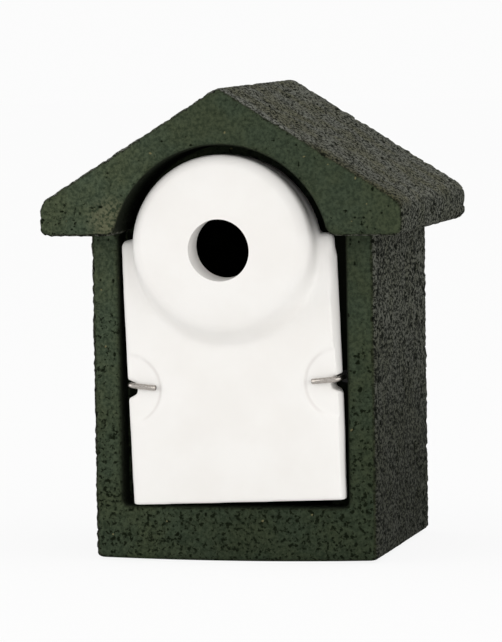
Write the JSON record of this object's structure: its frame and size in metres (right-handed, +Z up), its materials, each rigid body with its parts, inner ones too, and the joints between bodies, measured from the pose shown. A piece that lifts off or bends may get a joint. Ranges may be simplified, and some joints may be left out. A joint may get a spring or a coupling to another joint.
{
  "type": "woodcrete nest box",
  "caption": "House-shaped woodcrete bird nest box: a green gable-roofed casting with a loose white front panel, a raised round entrance and turning wire hooks that hold the panel.",
  "frame": {"origin": "middle of the base's outline, on the surface the box stands on", "axes": "+Z up, -Y out of the front with the entrance, +X to the right seen from the front"},
  "size_m": [0.19, 0.17, 0.2445],
  "materials": {
    "green_woodcrete": "matt dark green stain on dry-cast woodcrete, open and rough on the roof and sides",
    "white_woodcrete": "smooth matt white paint",
    "hook_wire": "bright drawn stainless wire",
    "plug_plastic": "plain grey moulding"
  },
  "bodies": {
    "box": {"roofed_body": "green_woodcrete", "front_panel": "white_woodcrete", "hook_plugs": "plug_plastic"},
    "left_hook": {"hook_left": "hook_wire"},
    "right_hook": {"hook_right": "hook_wire"}
  },
  "joints": [
    {"name": "left_hook_turn", "type": "hinge", "parent": "box", "child": "left_hook", "pos_m": [-0.05447, -0.0631, 0.09118], "axis": [0, -1, 0], "continuous": true},
    {"name": "right_hook_turn", "type": "hinge", "parent": "box", "child": "right_hook", "pos_m": [0.05646, -0.0631, 0.09505], "axis": [0, 1, 0], "continuous": true}
  ]
}
